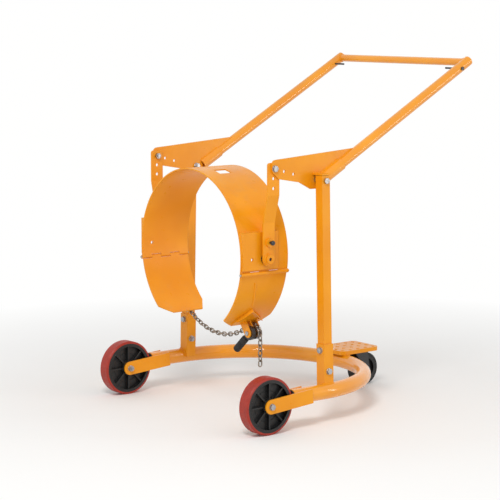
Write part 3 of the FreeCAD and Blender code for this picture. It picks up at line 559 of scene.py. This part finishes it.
def base_welds():
    beads = []
    rim = base_radius - bead_sink
    for side in (1, -1):
        cap = [at(leg_front + bead_lift, side * track_half + rim * math.cos(t),
                  base_height + rim * math.sin(t)) for t in rim_turns]
        beads.append(bead(cap, leg_bead, True))
        for face in (1, -1):
            y = side * track_half + face * (base_radius + bead_lift)
            end = [at(cheek_end, y, base_height - cheek_weld_low),
                   at(cheek_end, y, base_height + cheek_weld_high)]
            beads.append(bead(end, cheek_bead))
        y = side * (step_half_width - foot_weld_inset)
        foot = [at(x, y, base_height + base_radius - bead_sink) for x in foot_weld_ends]
        beads.append(bead(foot, foot_bead))
    add_piece("base_weld_beads", *joined(beads), "frame", "yellow_paint")


def pad_welds():
    beads = []
    heights = spread(-pad_low, pad_high, pad_weld_gaps)[pad_weld_skip:]
    reach = [math.sqrt(saddle_outer ** 2 - h ** 2) for h in heights]
    for side in (1, -1):
        front = [at(pad_front, side * y, drum_height + h) for y, h in zip(reach, heights)]
        rear = [at(pad_rear, side * y, drum_height + h) for y, h in zip(reach, heights)]
        beads.append(bead(front + rear[::-1], pad_bead))
    add_piece("pad_weld_beads", *joined(beads), "saddle", "yellow_paint")


def bolt_washers():
    across = Vector((0, 1, 0))
    along = Vector((1, 0, 0))
    places = []
    for side in (1, -1):
        out = across * side
        tilt = Vector((0, math.cos(post_tilt) * side, math.sin(post_tilt)))
        low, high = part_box("left_fork_cheeks" if side < 0 else "right_fork_cheeks")
        outer, inner = (high.y, low.y) if side > 0 else (low.y, high.y)
        axle = at(0, 0, wheel_radius)
        places.append((Vector((axle.x, outer, axle.z)), out))
        places.append((Vector((axle.x, inner, axle.z)), -out))
        places.append((at(hanger_reach, side * (plate_inner + plate_thick), hanger_bolt_height), out))
        places.append((at(post_reach, side * plate_inner, handle_bolt_height), -out))
        for z, way in ((sleeve_high_bolt, along), (sleeve_low_bolt, tilt)):
            drop = (handle_bolt_height - z) * post_lean
            middle = at(post_reach, side * (post_top_offset + drop), z)
            for end in (1, -1):
                places.append((middle + way * end * sleeve_half / mm_per_metre, way * end))
    rings = [turned(washer_profile, place, way) for place, way in places]
    add_piece("bolt_washers", *joined(rings), "frame", "zinc_plate")


def wheel_rings():
    for name, side in (("left", -1), ("right", 1)):
        rings, seals = [], []
        for face in (1, -1):
            out = Vector((0, face, 0))
            for profile, half in ((lip_profile, wheel_half), (web_profile, web_half)):
                place = at(0, side * track_half + face * (half - ring_sink), wheel_radius)
                rings.append(turned(profile, place, out, wheel_ring_sides))
            place = at(0, side * track_half + face * (hub_half - ring_sink), wheel_radius)
            seals.append(turned(seal_profile, place, out))
        add_piece(name + "_wheel_mould_rings", *joined(rings), name + "_wheel", "black_plastic")
        add_piece(name + "_bearing_seals", *joined(seals), name + "_wheel", "zinc_plate")


leg_plugs()
flap_rib()
sleeve_welds()
handle_welds()
base_welds()
pad_welds()
bolt_washers()
wheel_rings()


# Stage

def seen_directly(tree):
    # 1 for rays from the camera, from gloss and through glass, 0 for the light that falls on the object.
    path = tree.nodes.new("ShaderNodeLightPath")
    value = path.outputs["Is Camera Ray"]
    for name in ("Is Glossy Ray", "Is Transmission Ray"):
        either = tree.nodes.new("ShaderNodeMath")
        either.operation = "MAXIMUM"
        tree.links.new(value, either.inputs[0])
        tree.links.new(path.outputs[name], either.inputs[1])
        value = either.outputs["Value"]
    return value


def floor():
    # Pale ground that keeps the shadow near the object and runs out into the white background.
    mesh = bpy.data.meshes.new("floor")
    corners = [(-1, -1), (1, -1), (1, 1), (-1, 1)]
    mesh.from_pydata([(x * floor_half, y * floor_half, 0) for x, y in corners], [], [(0, 1, 2, 3)])
    piece = bpy.data.objects.new("floor", mesh)
    bpy.context.scene.collection.objects.link(piece)
    n = Nodes("floor")
    n.color(n.mix(n.noise(scale=3.0, detail=2.0), floor_pale, floor_paler))
    n.set(Roughness=0.85, Specular_IOR_Level=0.1)
    reach = n.add("ShaderNodeVectorMath", operation="LENGTH")
    n.link(n.place, reach.inputs[0])
    far = n.span(reach.outputs["Value"], floor_near, floor_far)
    white = n.add("ShaderNodeEmission")
    white.inputs["Color"].default_value = background
    blend = n.add("ShaderNodeMixShader")
    n.link(n.times(seen_directly(n.tree), far), blend.inputs["Fac"])
    n.link(n.shader.outputs["BSDF"], blend.inputs[1])
    n.link(white.outputs["Emission"], blend.inputs[2])
    n.link(blend.outputs["Shader"], n.tree.nodes["Material Output"].inputs["Surface"])
    mesh.materials.append(n.material)


def world():
    sky = bpy.data.worlds.new("studio")
    bpy.context.scene.world = sky
    sky.use_nodes = True
    tree = sky.node_tree
    back = tree.nodes["Background"]
    back.inputs["Color"].default_value = background
    level = tree.nodes.new("ShaderNodeMapRange")
    level.inputs["To Min"].default_value = world_light
    level.inputs["To Max"].default_value = 1.0
    tree.links.new(seen_directly(tree), level.inputs["Value"])
    tree.links.new(level.outputs["Result"], back.inputs["Strength"])


def lamp(name, place, aim, width, length, power, tint):
    data = bpy.data.lights.new(name, "AREA")
    data.shape = "RECTANGLE"
    data.size = width
    data.size_y = length
    data.energy = power
    data.color = tint
    piece = bpy.data.objects.new(name, data)
    piece.location = place
    piece.rotation_euler = (Vector(aim) - Vector(place)).to_track_quat("-Z", "Y").to_euler()
    bpy.context.scene.collection.objects.link(piece)


def camera():
    data = bpy.data.cameras.new("camera")
    data.lens = camera_lens
    data.sensor_width = camera_sensor
    data.clip_end = camera_reach
    piece = bpy.data.objects.new("camera", data)
    level = math.cos(camera_pitch)
    look = Vector((math.cos(camera_yaw) * level, math.sin(camera_yaw) * level, -math.sin(camera_pitch)))
    piece.location = camera_place
    piece.rotation_euler = look.to_track_quat("-Z", "Y").to_euler()
    bpy.context.scene.collection.objects.link(piece)
    bpy.context.scene.camera = piece


floor()
world()
for values in lamps:
    lamp(**values)
camera()
bpy.context.scene.view_settings.view_transform = "Standard"
